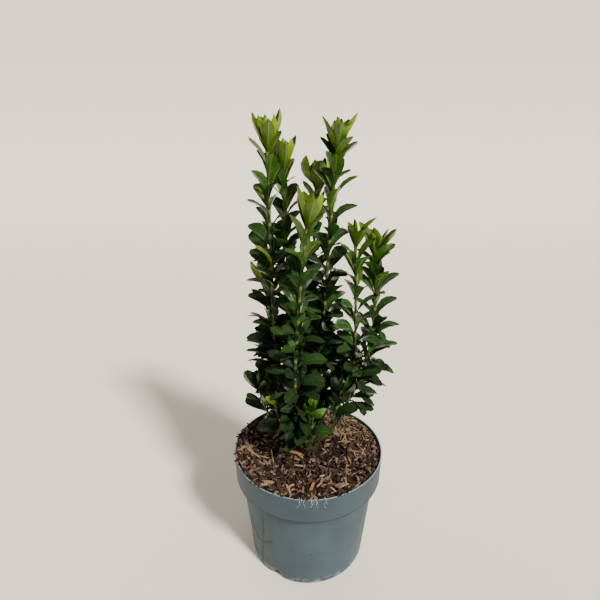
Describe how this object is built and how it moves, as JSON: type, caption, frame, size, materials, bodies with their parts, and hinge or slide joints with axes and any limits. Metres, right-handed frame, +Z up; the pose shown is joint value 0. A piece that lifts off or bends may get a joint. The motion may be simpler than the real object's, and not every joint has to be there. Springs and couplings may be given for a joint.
{
  "type": "potted green spire japanese spindle",
  "caption": "Upright evergreen shrub of narrow leafy spires that fork from a short woody stool, in a tapered round nursery pot topped with bark chips.",
  "frame": {"origin": "centre of the pot's flat underside", "axes": "+Z up along the pot's axis, +X to the right and +Y to the back as the plant is seen in the picture"},
  "size_m": [0.1846, 0.17, 0.4964],
  "materials": {
    "pot_plastic": "thin moulded polypropylene, satin blue-grey",
    "compost": "moist dark peat-free compost",
    "bark_chips": "loose weathered bark chips, umber to tan",
    "woody_stem": "rough grey-brown bark",
    "green_stem": "smooth olive-green young bark",
    "foliage": "glossy leathery leaves, dark green with yellow-green tips"
  },
  "bodies": {
    "root": {"pot": "pot_plastic", "root_ball": "compost", "bark_mulch": "bark_chips", "stool": "woody_stem", "bough_tall_left": "green_stem", "bough_tall_right": "green_stem", "bough_back_left": "green_stem", "bough_back_centre": "green_stem", "bough_front": "green_stem", "bough_right_inner": "green_stem", "bough_right_outer": "green_stem", "bough_low_left": "green_stem", "bough_low_front_left": "green_stem", "bough_low_front": "green_stem", "bough_low_right": "green_stem", "bough_back_low_right": "green_stem", "bough_back_low": "green_stem", "bough_back_low_left": "green_stem", "spire_tall_left": "foliage", "spire_tall_right": "foliage", "spire_back_left": "foliage", "spire_back_centre": "foliage", "spire_front": "foliage", "spire_right_inner": "foliage", "spire_right_outer": "foliage", "spire_low_left": "foliage", "spire_low_front_left": "foliage", "spire_low_front": "foliage", "spire_low_right": "foliage", "spire_back_low_right": "foliage", "spire_back_low": "foliage", "spire_back_low_left": "foliage"}
  },
  "joints": []
}
